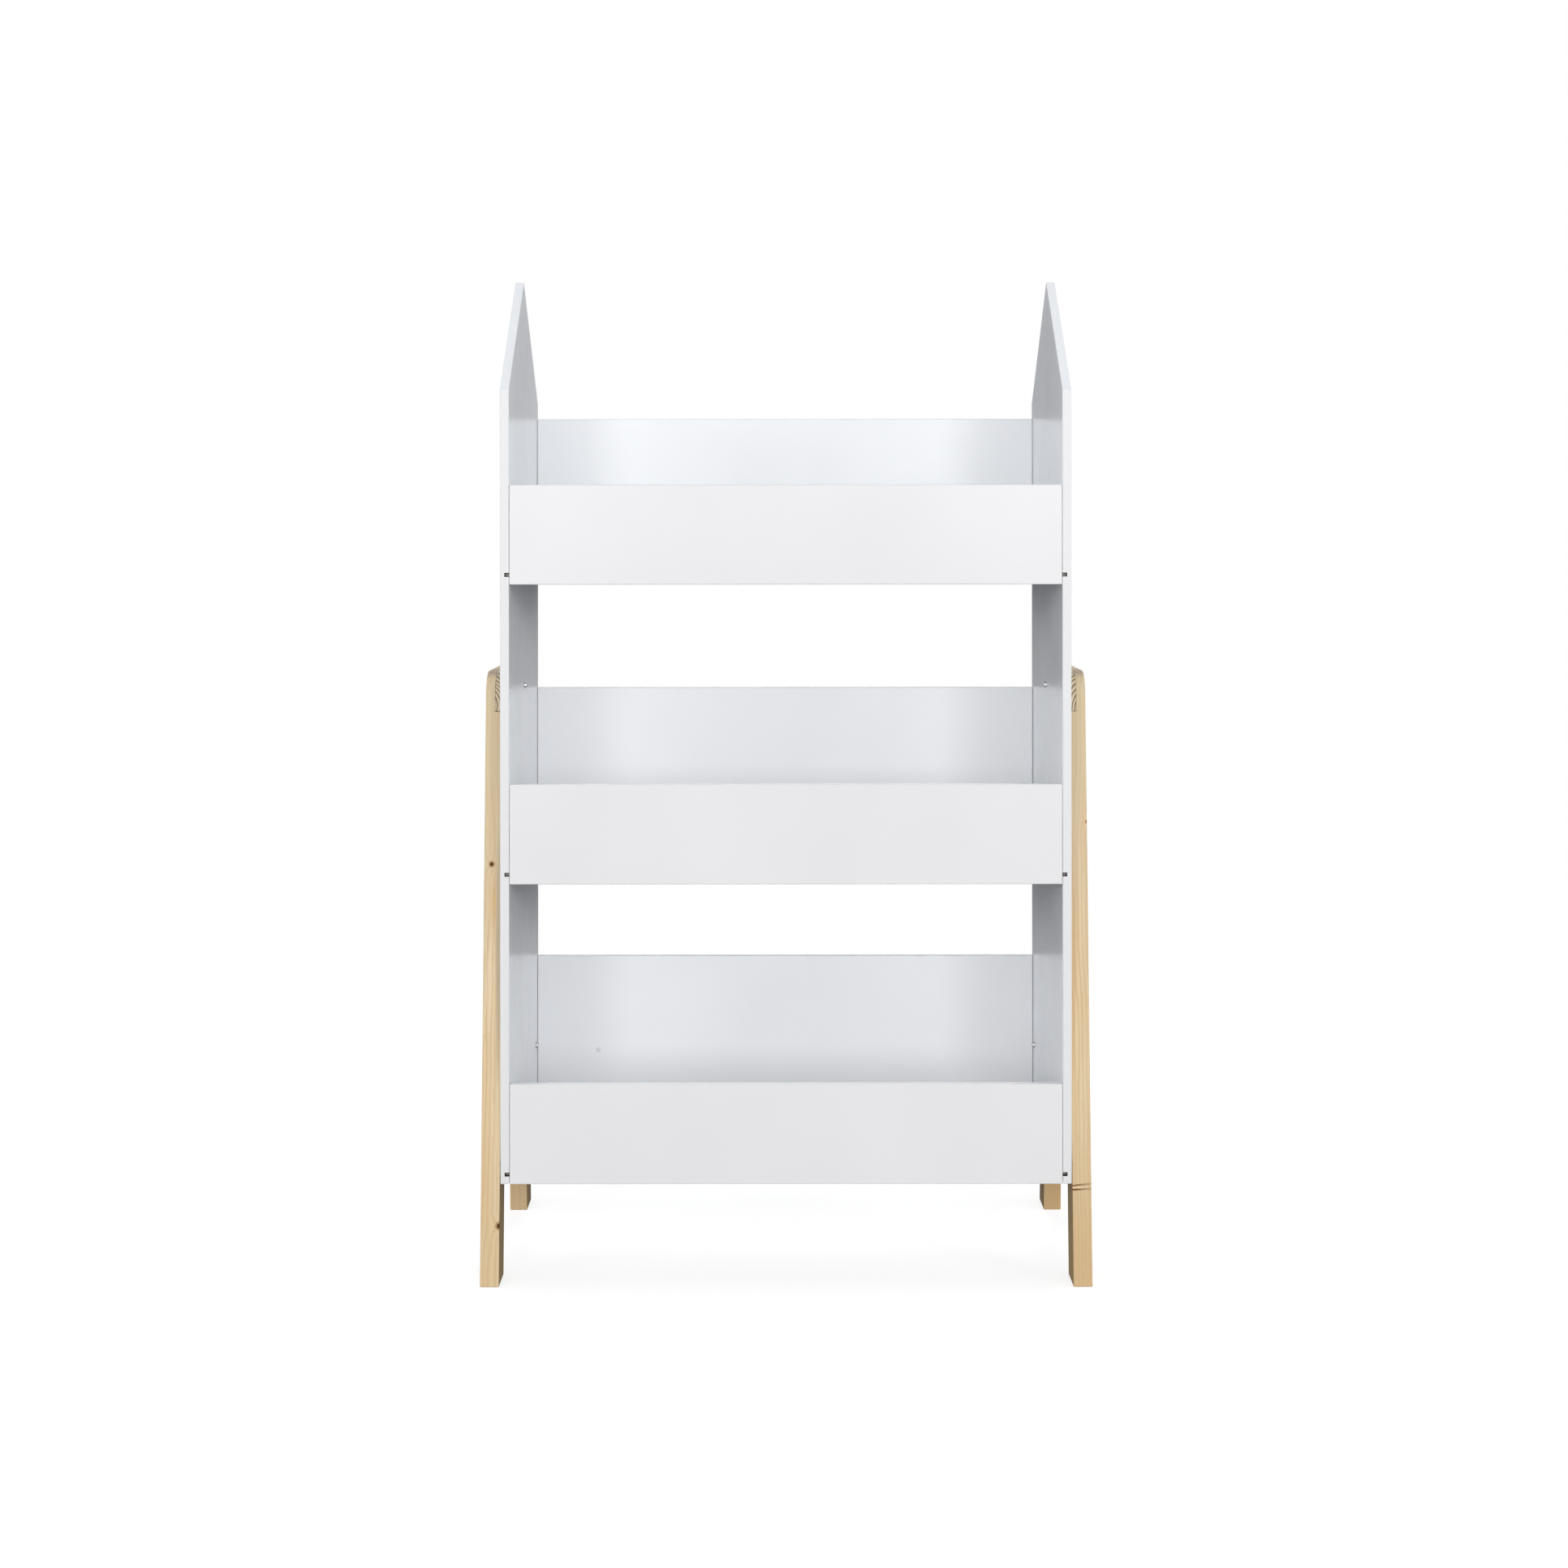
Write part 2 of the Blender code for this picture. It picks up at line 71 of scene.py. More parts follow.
BARE_BOARD_IN_SHADE = (0.080, 0.072, 0.065)
GROOVE_PLACE = (0.27925, 0.0, 0.0098)
GROOVE_HALF = (0.00235, 0.15, 0.0020)
GROOVES = 3
TRAY_LOW = 0.100
TRAY_PITCH = 0.300


def add_node(tree, kind, inputs=(), **settings):
    """Add a node. Inputs pair a socket's name or number with a value or with another socket."""
    node = tree.nodes.new(kind)
    for name, value in settings.items():
        setattr(node, name, value)
    for key, value in dict(inputs).items():
        if isinstance(value, bpy.types.NodeSocket):
            tree.links.new(value, node.inputs[key])
        else:
            node.inputs[key].default_value = value
    return node


def calc(tree, operation, *values, clamp=False):
    """A Math node on up to three values."""
    return add_node(tree, "ShaderNodeMath", enumerate(values), operation=operation,
                    use_clamp=clamp).outputs[0]


def vector_calc(tree, operation, *values):
    """A Vector Math node. A length comes out as a value."""
    node = add_node(tree, "ShaderNodeVectorMath", enumerate(values), operation=operation)
    return node.outputs["Value" if operation == "LENGTH" else "Vector"]


def split(tree, vector):
    """The X, Y and Z of a vector."""
    return add_node(tree, "ShaderNodeSeparateXYZ", {0: vector}).outputs


def ramp(tree, value, start, end, low=0.0, high=1.0):
    """Smooth change from low to high while a value goes from start to end."""
    inputs = {"Value": value, "From Min": start, "From Max": end, "To Min": low, "To Max": high}
    return add_node(tree, "ShaderNodeMapRange", inputs, interpolation_type="SMOOTHSTEP").outputs[0]


def blend_colours(tree, factor, first, second):
    """Mix two colours, given as values or as sockets."""
    def rgba(colour):
        return colour if isinstance(colour, bpy.types.NodeSocket) else (*colour, 1.0)
    node = add_node(tree, "ShaderNodeMix", {0: factor, 6: rgba(first), 7: rgba(second)},
                    data_type="RGBA")
    return node.outputs[2]


def noise(tree, vector, scale, detail=2.0, roughness=0.5):
    """Noise between 0 and 1. The scale has a value for each direction, per metre."""
    stretched = vector_calc(tree, "MULTIPLY", vector, scale)
    inputs = {"Vector": stretched, "Scale": 1.0, "Detail": detail, "Roughness": roughness}
    return add_node(tree, "ShaderNodeTexNoise", inputs).outputs[0]


def new_group(name, inputs, outputs):
    """An empty shader node group with named sockets."""
    group = bpy.data.node_groups.new(name, "ShaderNodeTree")
    for label, kind, value in inputs:
        socket = group.interface.new_socket(label, in_out="INPUT", socket_type="NodeSocket" + kind)
        socket.default_value = value
    for label, kind in outputs:
        group.interface.new_socket(label, in_out="OUTPUT", socket_type="NodeSocket" + kind)
    return group, group.nodes.new("NodeGroupInput").outputs


def end_group(group, results):
    """Connect a group's results to its output sockets."""
    add_node(group, "NodeGroupOutput", results)


def place_group(tree, group, inputs):
    """Place a group in a material with its own values, and give back its outputs."""
    return add_node(tree, "ShaderNodeGroup", inputs, node_tree=group).outputs


def new_material(name, **sockets):
    """A material with its Principled surface, and the coordinates of the piece it is on."""
    material = bpy.data.materials.new(name)
    material.use_nodes = True
    tree = material.node_tree
    surface = tree.nodes["Principled BSDF"]
    for label, value in sockets.items():
        surface.inputs[label.replace("_", " ")].default_value = value
    place = tree.nodes.new("ShaderNodeTexCoord").outputs["Object"]
    return material, tree, surface, place


def connect_surface(tree, surface, colour, roughness, height, depth):
    """Feed colour, roughness and a bump of the given depth in metres to the surface."""
    tree.links.new(colour, surface.inputs["Base Color"])
    tree.links.new(roughness, surface.inputs["Roughness"])
    bump = add_node(tree, "ShaderNodeBump", {"Height": height, "Distance": depth, "Strength": 1.0})
    tree.links.new(bump.outputs[0], surface.inputs["Normal"])


def dress(node, material):
    """Give a CAD node its finish."""
    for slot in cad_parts[node].material_slots:
        slot.material = material


def make_paint_group():
    """Rolled paint: fine stipple, slow changes of tone and cloudy gloss."""
    group, given = new_group("rolled_paint", [
        ("Vector", "Vector", (0.0, 0.0, 0.0)), ("Seed", "Vector", (0.0, 0.0, 0.0)),
        ("Stipple Size", "Vector", (STIPPLE_SIZE,) * 3)],
        [("Stipple", "Float"), ("Tone", "Float"), ("Gloss", "Float")])
    place = vector_calc(group, "ADD", given["Vector"], given["Seed"])
    fine = vector_calc(group, "DIVIDE", place, given["Stipple Size"])
    end_group(group, {
        "Stipple": noise(group, fine, (1.0, 1.0, 1.0), STIPPLE_DETAIL, STIPPLE_HARDNESS),
        "Tone": noise(group, place, TONE_SCALE, 1.0),
        "Gloss": noise(group, place, GLOSS_SCALE)})
    return group


def depths_inside(group, given):
    """How deep a point lies inside a box along X, Y and Z, from the box's centre and half size."""
    offset = vector_calc(group, "SUBTRACT", given["Vector"], given["Centre"])
    return split(group, vector_calc(group, "SUBTRACT", given["Half Size"],
                                    vector_calc(group, "ABSOLUTE", offset)))


def make_edge_group():
    """Masks of a board's arrises and of the cut edges that end its long ways."""
    group, given = new_group("board_edges", [
        ("Vector", "Vector", (0.0, 0.0, 0.0)), ("Centre", "Vector", (0.0, 0.0, 0.0)),
        ("Half Size", "Vector", (1.0, 1.0, 1.0)), ("Long Ways", "Vector", (1.0, 0.0, 1.0)),
        ("Width", "Float", ARRIS_WIDTH)],
        [("Arris", "Float"), ("Cut Edge", "Float")])
    near = [ramp(group, depth, 0.0, given["Width"], 1.0, 0.0)
            for depth in depths_inside(group, given)]
    pairs = [calc(group, "MULTIPLY", near[i], near[j]) for i, j in ((0, 1), (1, 2), (2, 0))]
    arris = calc(group, "ADD", calc(group, "ADD", pairs[0], pairs[1]), pairs[2], clamp=True)
    cuts = [calc(group, "MULTIPLY", mask, way)
            for mask, way in zip(near, split(group, given["Long Ways"]))]
    cut_edge = calc(group, "MAXIMUM", calc(group, "MAXIMUM", cuts[0], cuts[1]), cuts[2])
    end_group(group, {"Arris": arris, "Cut Edge": cut_edge})
    return group


def make_box_group():
    """Mask of the surfaces inside a box, such as the walls of a groove."""
    group, given = new_group("inside_box", [
        ("Vector", "Vector", (0.0, 0.0, 0.0)), ("Centre", "Vector", (0.0, 0.0, 0.0)),
        ("Half Size", "Vector", (1.0, 1.0, 1.0))], [("Inside", "Float")])
    depths = depths_inside(group, given)
    least = calc(group, "MINIMUM", calc(group, "MINIMUM", depths[0], depths[1]), depths[2])
    end_group(group, {"Inside": calc(group, "GREATER_THAN", least, 0.0)})
    return group


ROLLED_PAINT = make_paint_group()
BOARD_EDGES = make_edge_group()
INSIDE_BOX = make_box_group()


def find_edges(tree, place, node, long_ways, width=ARRIS_WIDTH):
    """The edge masks of a board, measured from its own box."""
    low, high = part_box(node)
    return place_group(tree, BOARD_EDGES, {
        "Vector": place, "Centre": (low + high) / 2, "Half Size": (high - low) / 2,
        "Long Ways": long_ways, "Width": width})


def paint_board(name, node, long_ways, seed, white, grooves=()):
    """Paint one board white, with duller cut edges in a darker white as painted shade, soiled
    arrises, and grooves of bare board darkened as painted shade.
    """
    material, tree, surface, place = new_material(name, Specular_IOR_Level=PAINT_SPECULAR)
    paint = place_group(tree, ROLLED_PAINT, {"Vector": place, "Seed": seed})
    edges = find_edges(tree, place, node, long_ways)
    thin_coat = tuple(THIN_SHARE * part for part in white)
    colour = blend_colours(tree, ramp(tree, paint["Tone"], *NOISE_SPREAD), white, thin_coat)
    # Painted shade: the cut edges are blended towards a darker white.
    colour = blend_colours(tree, calc(tree, "MULTIPLY", edges["Cut Edge"], EDGE_SHADE_SHARE),
                           colour, EDGE_WHITE_PAINTED_SHADE)
    colour = blend_colours(tree, calc(tree, "MULTIPLY", edges["Arris"], ARRIS_SHARE),
                           colour, PAINT_SOILED)
    roughness = calc(tree, "ADD", ramp(tree, paint["Gloss"], *NOISE_SPREAD, *PAINT_ROUGHNESS),
                     calc(tree, "MULTIPLY", edges["Cut Edge"], EDGE_ROUGHER))
    for centre in grooves:
        groove = place_group(tree, INSIDE_BOX, {"Vector": place, "Centre": centre,
                                                "Half Size": GROOVE_HALF})
        # Painted shade: the groove walls go near black, much darker than bare board.
        colour = blend_colours(tree, groove["Inside"], colour, BARE_BOARD_IN_SHADE)
        roughness = calc(tree, "MAXIMUM", roughness, groove["Inside"])
    connect_surface(tree, surface, colour, roughness, paint["Stipple"], STIPPLE_DEPTH)
    dress(node, material)
    return tree, surface, place, colour


for number, (side, outward) in enumerate(SIDES.items()):
    # The grooves for the tray floors are routed after the paint: bare board, darkened as painted
    # shade.
    groove_x, groove_y, groove_z = GROOVE_PLACE
    grooves = [(outward * groove_x, groove_y, groove_z + TRAY_LOW + tray * TRAY_PITCH)
               for tray in range(GROOVES)]
    paint_board("panel_paint_" + side, "side_panel_" + side, PANEL_LONG_WAYS,
                (3.1 + number, 0.7, 0.0), SIDE_WHITE_PAINTED_LIGHT, grooves)


# Tray boards.
# The low front boards and high back boards are the same painted board as the panels.
# Each is screwed and dowelled through the panels, and the floor sits in a groove inside.

TRAYS = ("bottom", "middle", "top")
# Painted light and shade: the front boards get a darker white, the back boards a brighter, bluer
# one.
FRONT_WHITE_PAINTED_SHADE = (0.791, 0.784, 0.794)
BACK_WHITE_PAINTED_LIGHT = (0.848, 0.860, 0.880)
BOARD_LONG_WAYS = (1.0, 0.0, 1.0)
SCUFF_PLACE = (-0.2089, 0.131, 0.1726)
SCUFF_RADIUS = 0.0026
SCUFF_GREY = (0.56, 0.56, 0.57)
SCUFF_SHARE = 0.55
SCUFF_RAGGED = (900.0, 900.0, 900.0)

for number, tray in enumerate(TRAYS):
    paint_board("front_board_paint_" + tray, "front_board_" + tray, BOARD_LONG_WAYS,
                (0.0, 11.0 + number, 4.0), FRONT_WHITE_PAINTED_SHADE)
    tree, surface, place, colour = paint_board(
        "back_board_paint_" + tray, "back_board_" + tray, BOARD_LONG_WAYS,
        (5.0, 21.0 + number, 0.0), BACK_WHITE_PAINTED_LIGHT)
    if tray == "bottom":
        # A small rub mark inside the bottom tray, left of the middle.
        reach = vector_calc(tree, "LENGTH", vector_calc(tree, "SUBTRACT", place, SCUFF_PLACE))
        ragged = calc(tree, "MULTIPLY", noise(tree, place, SCUFF_RAGGED), SCUFF_RADIUS)
        mark = ramp(tree, calc(tree, "ADD", reach, ragged), SCUFF_RADIUS, 2 * SCUFF_RADIUS,
                    SCUFF_SHARE, 0.0)
        tree.links.new(blend_colours(tree, mark, colour, SCUFF_GREY), surface.inputs["Base Color"])


# Tray floors.
# Thin fibreboard faced with white foil, slid into the grooves before the tray is screwed up.
# The foil has a fine pressed grain and a slightly softer sheen than the paint.

FOIL_WHITE = (0.825, 0.825, 0.830)
FOIL_SHADE = (0.800, 0.800, 0.807)
FOIL_SPECULAR = 0.40
FOIL_ROUGHNESS = (0.40, 0.50)
FOIL_TONE_SCALE = (5.0, 9.0, 9.0)
FOIL_GRAIN_SCALE = (120.0, 900.0, 900.0)
FOIL_GRAIN_DEPTH = 0.00003
FLOOR_LONG_WAYS = (1.0, 1.0, 0.0)
FLOOR_EDGE = (0.250, 0.228, 0.205)
FLOOR_EDGE_DEPTH = 0.0004
GRAIN_SPREAD = (0.3, 0.7)

for number, tray in enumerate(TRAYS):
    node = "floor_board_" + tray
    material, tree, surface, place = new_material("floor_foil_" + tray,
                                                  Specular_IOR_Level=FOIL_SPECULAR)
    seeded = vector_calc(tree, "ADD", place, (31.0 + number, 2.0, 0.0))
    grain = noise(tree, seeded, FOIL_GRAIN_SCALE, 3.0)
    tone = noise(tree, seeded, FOIL_TONE_SCALE)
    colour = blend_colours(tree, ramp(tree, tone, *NOISE_SPREAD), FOIL_WHITE, FOIL_SHADE)
    edges = find_edges(tree, place, node, FLOOR_LONG_WAYS, FLOOR_EDGE_DEPTH)
    colour = blend_colours(tree, edges["Cut Edge"], colour, FLOOR_EDGE)
    connect_surface(tree, surface, colour, ramp(tree, grain, *GRAIN_SPREAD, *FOIL_ROUGHNESS),
                    grain, FOIL_GRAIN_DEPTH)
    dress(node, material)


# Leg frames.
# Planed pine under a clear matt lacquer: two leaning legs half lapped to a top rail.
# The rail laps over the inner half of each leg, so its end grain shows beside the leg.

LEAN = math.radians(5.0)
PINE_LIGHT = (0.785, 0.662, 0.448)
PINE_WARM = (0.735, 0.562, 0.347)
PINE_LATE = (0.560, 0.370, 0.185)
RIGHT_LIGHT = (0.725, 0.592, 0.385)
RIGHT_WARM = (0.685, 0.487, 0.282)
PINE_SPECULAR = 0.12
PINE_ROUGHNESS = (0.76, 0.66)
GRAIN_DEPTH = 0.00008

# Growth rings, as the part of a ring where late wood starts and stops, and what crosses them.
RING_WIDTH = 0.0042
RING_WANDER = 0.026
WANDER_SCALE = (14.0, 14.0, 3.4)
LATE_START = (0.35, 0.92)
LATE_STOP = (0.94, 1.0)
LATE_SHARE = (0.18, 0.60)
LATE_SCALE = (190.0, 190.0, 2.6)
WARM_SCALE = (70.0, 70.0, 3.6)
WARM_SPREAD = (0.40, 0.68)
FIBRE_SCALE = (900.0, 900.0, 14.0)
FIBRE_SPREAD = (0.5, 0.8)
FIBRE_SHARE = 0.16
CANAL_SCALE = (700.0, 700.0, 40.0)
CANAL_SPREAD = (0.74, 0.80)
CANAL_SHARE = 0.35
RING_BUMP = 0.35
FIBRE_BUMP = 0.65

# Knots, with distances in knot radii.
KNOT_BROWN = (0.075, 0.030, 0.010)
KNOT_RIM = (0.420, 0.230, 0.090)
KNOT_RAGGED = 0.7
KNOT_RAGGED_SCALE = (700.0, 700.0, 700.0)
KNOT_CORE = (0.60, 1.0)
KNOT_RIM_INSIDE = (0.55, 0.95)
KNOT_RIM_OUTSIDE = (1.05, 1.7)
KNOT_RIM_SHARE = 0.75
KNOT_BEND_REACH = 5.0

# Tone changes: greyer up high, warmer at the feet, dull at the tops; inner faces get painted shade.
# Each starts and ends at two heights, the inner faces at two distances from the middle.
PINE_GREY = (0.610, 0.500, 0.335)
GREY_RISE = (0.22, 0.56)
PINE_FOOT = (0.610, 0.405, 0.200)
FOOT_RISE = (0.02, 0.20)
PINE_TOP = (0.420, 0.345, 0.300)
TOP_RISE = (0.603, 0.609)
TOP_SHARE = 0.65
PINE_INNER_SHADE = (0.215, 0.140, 0.060)
INNER_SHADE_SKIN = (0.2863, 0.2867)

# Streaks fade out between two distances in their radii, and sooner in late wood.
STREAK_FADE = (0.45, 1.1)
STREAK_RING_SHARE = 0.25


def wobble(tree, vector, scale, span, detail=2.0):
    """Noise about zero, over the given span."""
    return calc(tree, "MULTIPLY", calc(tree, "SUBTRACT", noise(tree, vector, scale, detail), 0.5),
                span)


def make_pine_group():
    """Pine with its fibres along Z: growth rings about a pith, bands and resin canals."""
    group, given = new_group("pine_grain", [
        ("Vector", "Vector", (0.0, 0.0, 0.0)), ("Seed", "Vector", (0.0, 0.0, 0.0)),
        ("Pith", "Vector", (0.0, 0.0, 0.0)), ("Ring Width", "Float", RING_WIDTH),
        ("Bend", "Float", 0.0), ("Light", "Color", (*PINE_LIGHT, 1.0)),
        ("Late", "Color", (*PINE_LATE, 1.0)), ("Warm", "Color", (*PINE_WARM, 1.0))],
        [("Color", "Color"), ("Roughness", "Float"), ("Height", "Float"), ("Late Wood", "Float")])
    place = vector_calc(group, "ADD", given["Vector"], given["Seed"])
    from_pith = vector_calc(group, "SUBTRACT", given["Vector"], given["Pith"])
    across = vector_calc(group, "MULTIPLY", from_pith, (1.0, 1.0, 0.0))
    reach = calc(group, "ADD", vector_calc(group, "LENGTH", across),
                 wobble(group, place, WANDER_SCALE, RING_WANDER, 3.0))
    reach = calc(group, "ADD", reach, given["Bend"])
    ring = calc(group, "FRACT", calc(group, "DIVIDE", reach, given["Ring Width"]))
    late = calc(group, "MULTIPLY", ramp(group, ring, *LATE_START),
                ramp(group, ring, *LATE_STOP, 1.0, 0.0))
    band = noise(group, place, LATE_SCALE, 3.0)
    fibre = noise(group, place, FIBRE_SCALE)
    warmth = noise(group, place, WARM_SCALE, 3.0)
    canal = ramp(group, noise(group, place, CANAL_SCALE, 0.0), *CANAL_SPREAD)
    colour = blend_colours(group, ramp(group, warmth, *WARM_SPREAD), given["Light"], given["Warm"])
    for mask in (calc(group, "MULTIPLY", late, ramp(group, band, *NOISE_SPREAD, *LATE_SHARE)),
                 calc(group, "MULTIPLY", ramp(group, fibre, *FIBRE_SPREAD), FIBRE_SHARE),
                 calc(group, "MULTIPLY", canal, CANAL_SHARE)):
        colour = blend_colours(group, mask, colour, given["Late"])
    height = calc(group, "ADD", calc(group, "MULTIPLY", late, RING_BUMP),
                  calc(group, "MULTIPLY", fibre, FIBRE_BUMP))
    end_group(group, {"Color": colour, "Roughness": ramp(group, late, 0.0, 1.0, *PINE_ROUGHNESS),
                      "Height": height, "Late Wood": late})
    return group


def make_knot_group():
    """A knot as an ellipsoid: its core, the dark rim round it, and how it bends the rings."""
    group, given = new_group("pine_knot", [
        ("Vector", "Vector", (0.0, 0.0, 0.0)), ("Centre", "Vector", (0.0, 0.0, 0.0)),
        ("Radii", "Vector", (0.002, 0.002, 0.002)), ("Pull", "Float", 0.002)],
        [("Core", "Float"), ("Rim", "Float"), ("Bend", "Float")])
    offset = vector_calc(group, "SUBTRACT", given["Vector"], given["Centre"])
    smooth = vector_calc(group, "LENGTH", vector_calc(group, "DIVIDE", offset, given["Radii"]))
    reach = calc(group, "ADD", smooth,
                 wobble(group, given["Vector"], KNOT_RAGGED_SCALE, KNOT_RAGGED))
    rim = calc(group, "MULTIPLY", ramp(group, reach, *KNOT_RIM_INSIDE),
               ramp(group, reach, *KNOT_RIM_OUTSIDE, 1.0, 0.0))
    bend = calc(group, "MULTIPLY", ramp(group, reach, 0.0, KNOT_BEND_REACH, 1.0, 0.0),
                given["Pull"])
    end_group(group, {"Core": ramp(group, reach, *KNOT_CORE, 1.0, 0.0), "Rim": rim, "Bend": bend})
    return group


PINE_GRAIN = make_pine_group()
PINE_KNOT = make_knot_group()


def tone_top(tree, height, colour, share=TOP_SHARE):
    """The tops of the frame's corners are end grain, so they are duller than the faces."""
    return blend_colours(tree, ramp(tree, height, *TOP_RISE, 0.0, share), colour, PINE_TOP)


def pine(node, turn, seed, pith, knots=(), streaks_and_shadow=(), light=PINE_LIGHT, warm=PINE_WARM,
         rings=RING_WIDTH, grey=0.55, foot=0.45, inside=0.62, top=TOP_SHARE):
    """Dress one piece in pine. The turn about X lays its length along the grain's Z."""
    material, tree, surface, place = new_material("pine_" + node, Specular_IOR_Level=PINE_SPECULAR)
    along = add_node(tree, "ShaderNodeMapping", {"Vector": place, "Rotation": (turn, 0.0, 0.0)})
    made = [place_group(tree, PINE_KNOT, {"Vector": place, "Centre": centre, "Radii": radii,
                                          "Pull": pull}) for centre, radii, pull, _, _ in knots]
    bend = 0.0
    for knot in made:
        bend = calc(tree, "ADD", bend, knot["Bend"])
    grain = place_group(tree, PINE_GRAIN, {
        "Vector": along.outputs[0], "Seed": seed, "Pith": pith, "Bend": bend,
        "Ring Width": rings, "Light": (*light, 1.0), "Warm": (*warm, 1.0)})
    spots = split(tree, place)
    height = spots["Z"]
    colour = blend_colours(tree, ramp(tree, height, *GREY_RISE, 0.0, grey), grain["Color"],
                           PINE_GREY)
    colour = blend_colours(tree, ramp(tree, height, *FOOT_RISE, foot, 0.0), colour, PINE_FOOT)
    # Streaks blend in their colour; one on the left front leg is the panel's painted shadow.
    for centre, radii, tone, share in streaks_and_shadow:
        offset = vector_calc(tree, "SUBTRACT", place, centre)
        reach = vector_calc(tree, "LENGTH", vector_calc(tree, "DIVIDE", offset, radii))
        reach = calc(tree, "ADD", reach,
                     calc(tree, "MULTIPLY", grain["Late Wood"], STREAK_RING_SHARE))
        colour = blend_colours(tree, ramp(tree, reach, *STREAK_FADE, share, 0.0), colour, tone)
    colour = tone_top(tree, height, colour, top)
    for knot, (_, _, _, core_colour, rim_colour) in zip(made, knots):
        colour = blend_colours(tree, calc(tree, "MULTIPLY", knot["Rim"], KNOT_RIM_SHARE), colour,
                               rim_colour)
        colour = blend_colours(tree, knot["Core"], colour, core_colour)
    # Painted shade: the inner faces darken towards a dark brown, by the share given as inside.
    inner = ramp(tree, calc(tree, "ABSOLUTE", spots["X"]), *INNER_SHADE_SKIN, inside, 0.0)
    colour = blend_colours(tree, inner, colour, PINE_INNER_SHADE)
    connect_surface(tree, surface, colour, grain["Roughness"], grain["Height"], GRAIN_DEPTH)
    dress(node, material)
    return tree, surface, spots, place, colour, grain


# Knots as centre, radii, pull on the rings, core colour and rim colour.
LEFT_KNOTS = (
    ((-0.2977, -0.1135, 0.4165), (0.0024, 0.0070, 0.0026), 0.0050, KNOT_BROWN, KNOT_RIM),
    ((-0.2868, -0.1448, 0.0597), (0.0027, 0.0080, 0.0034), 0.0040, KNOT_BROWN, KNOT_RIM))
RIGHT_KNOTS = (
    ((0.3045, -0.1099, 0.4588), (0.0018, 0.0050, 0.0026), 0.0025, KNOT_RIM, PINE_WARM),)

# Streaks as centre, radii, colour and share: the panel's painted shadow, grey beside it, then an
# orange streak under the knot, and a pale one below that.
LEFT_STREAKS_AND_SHADOW = (
    ((-0.2898, -0.12, 0.330), (0.0040, 0.06, 0.170), (0.48, 0.40, 0.30), 0.65),
    ((-0.2950, -0.12, 0.377), (0.0028, 0.06, 0.032), (0.66, 0.42, 0.20), 0.60),
    ((-0.2990, -0.12, 0.295), (0.0048, 0.06, 0.060), (0.84, 0.69, 0.49), 0.60))

pine("leg_front_left", LEAN, (1.0, 2.0, 3.0), (-0.24, -0.19, 0.0), LEFT_KNOTS, LEFT_STREAKS_AND_SHADOW,
     inside=0.85)
pine("leg_back_left", -LEAN, (8.0, 1.0, 5.0), (-0.36, 0.20, 0.0), foot=0.60, inside=0.92)
pine("leg_back_right", -LEAN, (2.0, 9.0, 6.0), (0.25, 0.22, 0.0), light=RIGHT_LIGHT,
     warm=RIGHT_WARM, foot=0.75, inside=0.92)

# The right front leg has a spike knot: a pale lens between two dark lines, low on its face. Each
# line has its offset, its slope and its strength, and both fade towards the leg's outer side.
SPIKE_MIDDLE = (0.2954, 0.0974)
SPIKE_LINES = ((0.0022, 0.110, 0.88), (-0.0022, 0.066, 1.0))
SPIKE_HALF_LINE = (0.000325, 0.0013)
SPIKE_LINE_REACH = (-0.006, 0.009)
SPIKE_LINE_END_SHARE = 0.40
SPIKE_DARK = (0.140, 0.065, 0.022)
SPIKE_HALF_LENS = (0.0008, 0.0022)
SPIKE_LENS_REACH = (-0.002, 0.0070)
SPIKE_LENS_SHARE = 0.6
SPIKE_PALE = (0.800, 0.560, 0.330)
SPIKE_WAVE = 0.0020
SPIKE_WAVE_SCALE = (160.0, 20.0, 90.0)

tree, surface, spots, place, colour, _ = pine(
    "leg_front_right", LEAN, (4.0, 7.0, 1.0), (0.37, -0.17, 0.0), RIGHT_KNOTS,
    light=RIGHT_LIGHT, warm=RIGHT_WARM, foot=0.70)
out_along = calc(tree, "SUBTRACT", spots["X"], SPIKE_MIDDLE[0])
rise = calc(tree, "SUBTRACT", calc(tree, "SUBTRACT", spots["Z"], SPIKE_MIDDLE[1]),
            wobble(tree, place, SPIKE_WAVE_SCALE, SPIKE_WAVE))
lens = calc(tree, "MULTIPLY",
            ramp(tree, calc(tree, "ABSOLUTE", rise), *SPIKE_HALF_LENS, SPIKE_LENS_SHARE, 0.0),
            ramp(tree, out_along, *SPIKE_LENS_REACH, 1.0, 0.0))
colour = blend_colours(tree, lens, colour, SPIKE_PALE)
fades = ramp(tree, out_along, *SPIKE_LINE_REACH, 1.0, SPIKE_LINE_END_SHARE)
for offset, slope, strength in SPIKE_LINES:
    line = calc(tree, "ADD", calc(tree, "MULTIPLY", out_along, slope), offset)
    apart = calc(tree, "ABSOLUTE", calc(tree, "SUBTRACT", rise, line))
    dark = ramp(tree, apart, *SPIKE_HALF_LINE, strength, 0.0)
    colour = blend_colours(tree, calc(tree, "MULTIPLY", dark, fades), colour, SPIKE_DARK)
tree.links.new(colour, surface.inputs["Base Color"])

# The rails' grain runs front to back, and their sawn ends show the growth rings. The ends lean
# with the legs, so where they start is a distance from mid depth, taken down to the floor.
RAIL_PITH = (0.310, 0.574)
RAIL_RINGS = 0.0032
RAIL_END = (0.1360, 0.1374)
PINE_END = (0.700, 0.585, 0.410)
PINE_END_LATE = (0.130, 0.085, 0.050)

